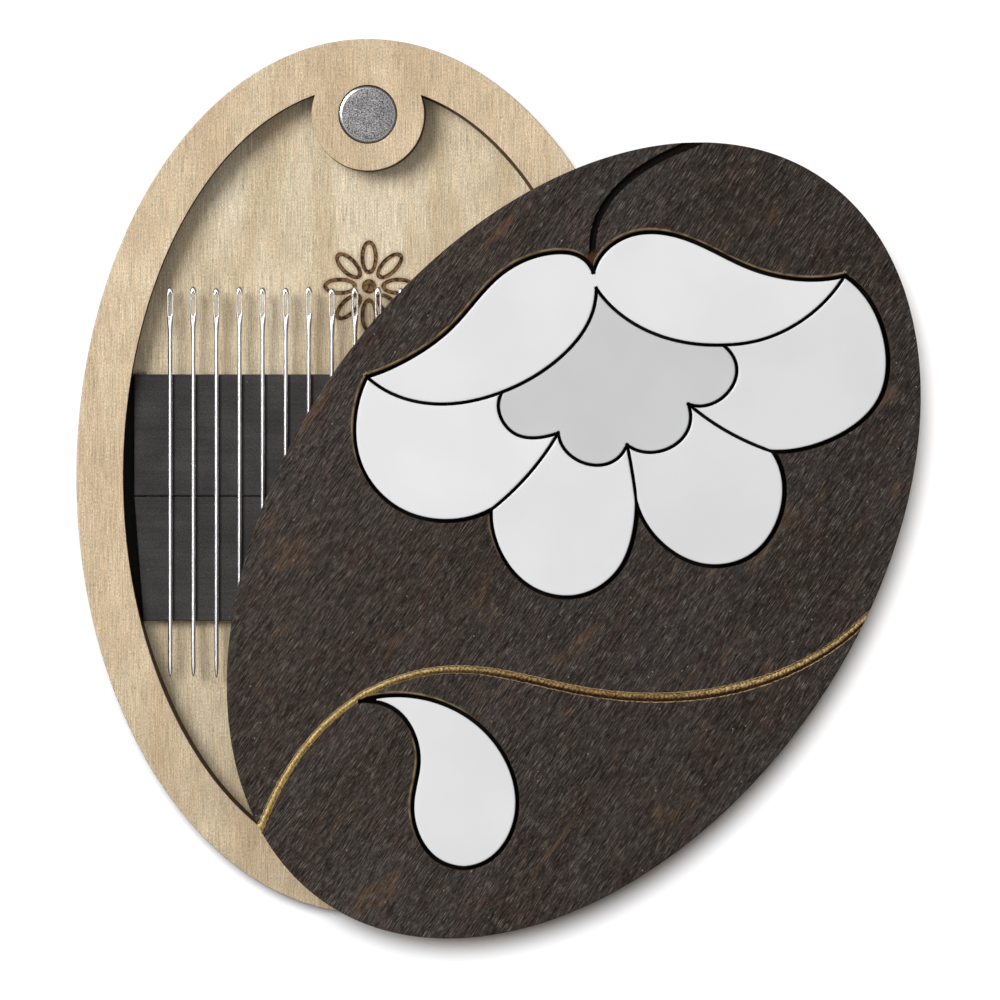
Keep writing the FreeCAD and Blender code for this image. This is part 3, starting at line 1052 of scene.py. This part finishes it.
def make_tray():
    """Floor panel, rim and magnetic strips."""
    floor_top = level("base_panel", 1)
    rim_top = level("rim_frame", 1)
    outline, *daisy = cap_loops("base_panel", floor_top, 1)
    panel = cut_plate("floor_panel", [outline], 0.0, floor_top, marks=daisy)
    strip_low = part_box("lower_magnetic_strip")[0] / MM
    strip_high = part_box("upper_magnetic_strip")[1] / MM
    shades = (rgb(232, 216, 187), rgb(212, 192, 158))
    wood = burnt_birch(strip_low, strip_high, "birch_floor", *shades, (0, 0, 0), floor_top)
    stand_in(panel, "base_panel", "tray", wood)
    loops = cap_loops("rim_frame", floor_top, -1)
    rim = cut_plate("rim_ring", loops, floor_top, rim_top, leaning=True)
    wood = birch("birch_rim", rgb(227, 206, 173), rgb(209, 185, 151), (17, 8, 0), rim_top)
    stand_in(rim, "rim_frame", "tray", wood)
    rubber = magnetic_rubber()
    for node in ("upper_magnetic_strip", "lower_magnetic_strip"):
        top = level(node, 1)
        strip = cut_plate(node + "_tape", cap_loops(node, top, 1), level(node, 0), top)
        stand_in(strip, node, "tray", rubber)


def make_lid():
    """Both plies of the lid, the acrylic inlays and the engraved vine and stem."""
    bottom = level("lid_back_panel", 0)
    middle = level("lid_back_panel", 1)
    top = level("lid_front_panel", 1)
    back = cut_plate("lid_lower_ply", cap_loops("lid_back_panel", middle, 1), bottom, middle)
    shades = (rgb(208, 188, 158), rgb(190, 168, 134))
    wood = gap_shaded_birch("birch_lid_back", *shades, (31.0, 4.0, 0.0), middle)
    stand_in(back, "lid_back_panel", "lid", wood)
    loops = cap_loops("lid_front_panel", middle, -1)
    vine_floor, stem_floor = cap_loops("lid_front_panel", top - groove_depth, 1)[:2]
    vine = Groove(vine_floor, loops[0], cord_relief, 0.1, vine_widths, 1.0)
    stem = Groove(stem_floor, loops[0], rough_relief, 0.16, stem_widths, 0.5)
    front = cut_plate("lid_upper_ply", loops, middle, top, grooves=(vine, stem), even=0.04)
    stand_in(front, "lid_front_panel", "lid", stained_lid("stained_ply", top))
    for node, tone in inlay_tones.items():
        name = node + "_acrylic"
        height = level(node, 1)
        inlay = cut_plate(name, cap_loops(node, height, 1), middle, height, shrink=inlay_shrink)
        stand_in(inlay, node, "lid", acrylic(name, tone, height))


def make_magnets():
    """Four disc magnets with rounded rims."""
    plating = nickel()
    bodies = {
        "upper_base_magnet": "tray",
        "lower_base_magnet": "tray",
        "upper_lid_magnet": "lid",
        "lower_lid_magnet": "pivot_magnet",
    }
    for node, body in bodies.items():
        low, high = (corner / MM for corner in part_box(node))
        scale = (high.x - low.x) / 2 / magnet_profile[-1][0]
        upper = [(radius * scale, high.z - depth) for radius, depth in magnet_profile]
        lower = [(radius * scale, low.z + depth) for radius, depth in reversed(magnet_profile)]
        piece = revolved(node + "_disc", (low + high) / 2, upper + lower)
        stand_in(piece, node, body, plating)


def needle_rows(length):
    """Rows along a needle, from the top of its eye.

    Each is its distance, half width, half thickness, the slot's half width and the gutter's share.
    """
    point_start = length - needle_point
    distances = list(crown_rows)
    distances += [eye_slot[0] + step for step in slot_rows]
    distances += [eye_slot[1] - step for step in slot_rows[-2::-1]]
    distances += [eye_slot[1] + step for step in neck_rows]
    distances += shaft_rows
    distances += [length - step for step in tip_rows]
    rows = []
    for distance in distances:
        crown = math.sqrt(max(0.0, 1.0 - (1.0 - min(1.0, distance / eye_crown)) ** 2))
        neck = min(1.0, max(0.0, (distance - eye_slot[1]) / eye_neck))
        neck = neck * neck * (3.0 - 2.0 * neck)
        into_point = max(0.0, (distance - point_start) / needle_point)
        tip = math.sqrt(max(0.0, 1.0 - into_point ** point_power))
        width = (eye_half_width + (shaft_radius - eye_half_width) * neck) * crown * tip
        into_slot = min(distance - eye_slot[0], eye_slot[1] - distance)
        slot = 0.0
        if into_slot > 0.0:
            slot = math.sqrt(slot_half_width ** 2 - max(0.0, slot_half_width - into_slot) ** 2)
        run = gutter_run[0] if distance < eye_slot[0] else gutter_run[1]
        gutter = 1.0 if slot else gutter_depth * math.exp(-(into_slot / run) ** 2)
        rows.append((distance, width, shaft_radius * crown * tip, slot, gutter))
    return rows


def make_needle(name, low, high):
    """Needle with a slotted, guttered eye and a rounded point, between two corners of a box."""
    centre = (low + high) / 2
    indices = {}
    points = []
    faces = []

    def corner(x, distance, z):
        """Index of a point; points at one place are shared."""
        key = (round(centre.x + x, 5), round(high.y - distance, 5), round(centre.z + z, 5))
        if key not in indices:
            indices[key] = len(points)
            points.append(key)
        return indices[key]

    rings = []
    slots = []
    for distance, width, thickness, slot, gutter in needle_rows(high.y - low.y):
        strips = []
        for side in (1.0, -1.0):
            for upward in (1.0, -1.0):
                strip = []
                for column in range(needle_columns + 1):
                    share = (1.0 - math.cos(math.pi * column / needle_columns)) / 2
                    x = slot + (width - slot) * share
                    whole = math.sqrt(max(0.0, 1.0 - (x / width) ** 2)) if width else 0.0
                    rail = 2.0 * math.sqrt(max(0.0, share * (1.0 - share)))
                    z = thickness * ((1.0 - gutter) * whole + gutter * rail)
                    strip.append(corner(side * x, distance, upward * z))
                strips.append(strip)
        rings.append(strips)
        slots.append(slot)
    for here, there in zip(rings, rings[1:]):
        for strip, strip_after in zip(here, there):
            for column in range(needle_columns):
                corners = strip[column:column + 2] + strip_after[column:column + 2][::-1]
                face = tuple(dict.fromkeys(corners))
                if len(face) > 2:
                    faces.append(face)
    for number, slot in enumerate(slots):
        for beside in (number - 1, number + 1):
            if slot == 0.0 and 0 < beside < len(slots) and slots[beside] > 0.0:
                top, under = rings[number][0][0], rings[number][1][0]
                faces.append((top, under, rings[beside][0][0]))
                faces.append((top, under, rings[beside][2][0]))
    piece = add_piece(name, points, faces)
    shell = bmesh.new()
    shell.from_mesh(piece.data)
    bmesh.ops.recalc_face_normals(shell, faces=shell.faces)
    shell.to_mesh(piece.data)
    shell.free()
    return piece


def make_needles():
    """Every needle, on the body that carries it."""
    steel = needle_steel()
    for body, nodes in frame["record"]["behaviour"]["bodies"].items():
        for node in nodes:
            if node.startswith("needle_"):
                low, high = (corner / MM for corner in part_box(node))
                piece = make_needle(node + "_steel", low, high)
                stand_in(piece, node, body, steel)


# ---- stage


def make_floor():
    """Wide pale floor under the case."""
    bpy.ops.mesh.primitive_grid_add(x_subdivisions=8, y_subdivisions=8, size=2 * floor_half)
    ground = bpy.context.object
    ground.name = "floor"
    ground.data.materials.append(paper())
    return ground


def add_light(name, floor, position, size, power):
    """Light that looks at the case: a soft disk for the case itself, or a sun for the floor alone."""
    data = bpy.data.lights.new(name, "AREA" if size else "SUN")
    if size:
        data.shape = "DISK"
        data.size = size
    else:
        data.angle = math.radians(floor_light_spread)
    data.energy = power
    light = add_object(name, data)
    light.location = Vector(position)
    light.rotation_mode = "QUATERNION"
    light.rotation_quaternion = (-Vector(position)).to_track_quat("-Z", "Y")
    light.visible_camera = False
    lit = bpy.data.collections.new(name + "_receivers")
    lit.objects.link(floor)
    if size:
        lit.collection_objects[0].light_linking.link_state = "EXCLUDE"
    light.light_linking.receiver_collection = lit


def make_lights(floor):
    """Main light from the upper left, a wide one overhead, the floor's own, and a bright horizon."""
    world = bpy.data.worlds.new("studio")
    bpy.context.scene.world = world
    world.use_nodes = True
    background = world.node_tree.nodes["Background"]
    nodes = world.node_tree.nodes
    heading = nodes.new("ShaderNodeTexCoord")
    split = nodes.new("ShaderNodeSeparateXYZ")
    fade = nodes.new("ShaderNodeValToRGB")
    stops = fade.color_ramp.elements
    stops.new(sky_levels[1][0])
    for stop, (rise, brightness) in zip(stops, sky_levels):
        stop.position = rise
        stop.color = (brightness, brightness, brightness, 1.0)
    links = world.node_tree.links
    links.new(heading.outputs["Generated"], split.inputs[0])
    links.new(split.outputs["Z"], fade.inputs["Fac"])
    links.new(fade.outputs["Color"], background.inputs["Color"])
    add_light("key", floor, *key_light)
    add_light("top", floor, *top_light)
    add_light("floor_light", floor, *floor_light)


def make_camera():
    """Long lens looking straight down, as wide as the picture's frame at the lid's height."""
    data = bpy.data.cameras.new("camera")
    data.lens = lens
    data.sensor_width = sensor
    data.clip_start = 0.05
    data.clip_end = 60.0
    camera = add_object("camera", data)
    height = view_plane + view_width * lens / sensor
    camera.location = [MM * value for value in (*view_centre, height)]
    bpy.context.scene.camera = camera


bpy.context.scene.view_settings.view_transform = "Standard"
make_camera()
make_tray()
make_lid()
make_magnets()
make_needles()
make_lights(make_floor())
